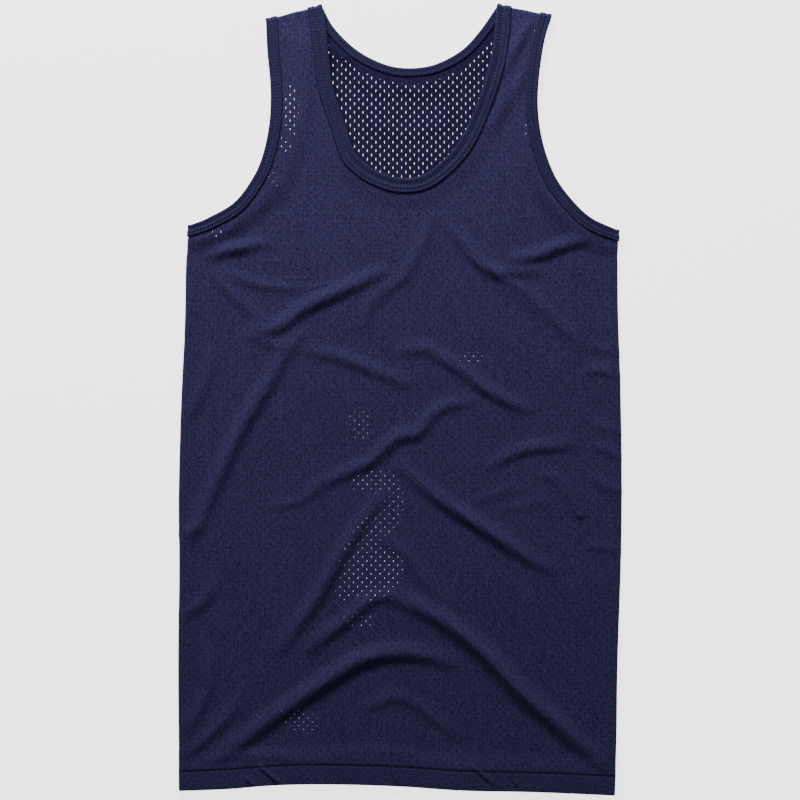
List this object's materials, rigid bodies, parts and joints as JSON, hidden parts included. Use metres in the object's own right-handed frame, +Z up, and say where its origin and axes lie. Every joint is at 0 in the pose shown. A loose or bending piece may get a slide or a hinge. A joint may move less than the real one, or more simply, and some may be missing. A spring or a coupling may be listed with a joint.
{
  "type": "mesh sports tank top",
  "caption": "Sleeveless eyelet-mesh sports top laid flat, with a deep scooped neckline, rib-bound neck and armholes and a turned-up hem.",
  "frame": {"origin": "under the middle of the garment's outline, on the surface it lies on", "axes": "+Z up out of the surface, +Y from the hem to the shoulders, +X to the right of the picture, which is the wearer's left"},
  "size_m": [0.4218, 0.7511, 0.0106],
  "materials": {
    "mesh_cloth": "navy polyester eyelet mesh, soft low sheen",
    "rib_knit": "navy rib knit, matt"
  },
  "bodies": {
    "root": {"front_panel": "mesh_cloth", "back_panel": "mesh_cloth", "front_hem_ply": "mesh_cloth", "back_hem_ply": "mesh_cloth", "neck_binding": "rib_knit", "armhole_binding_left": "rib_knit", "armhole_binding_right": "rib_knit"}
  },
  "joints": []
}
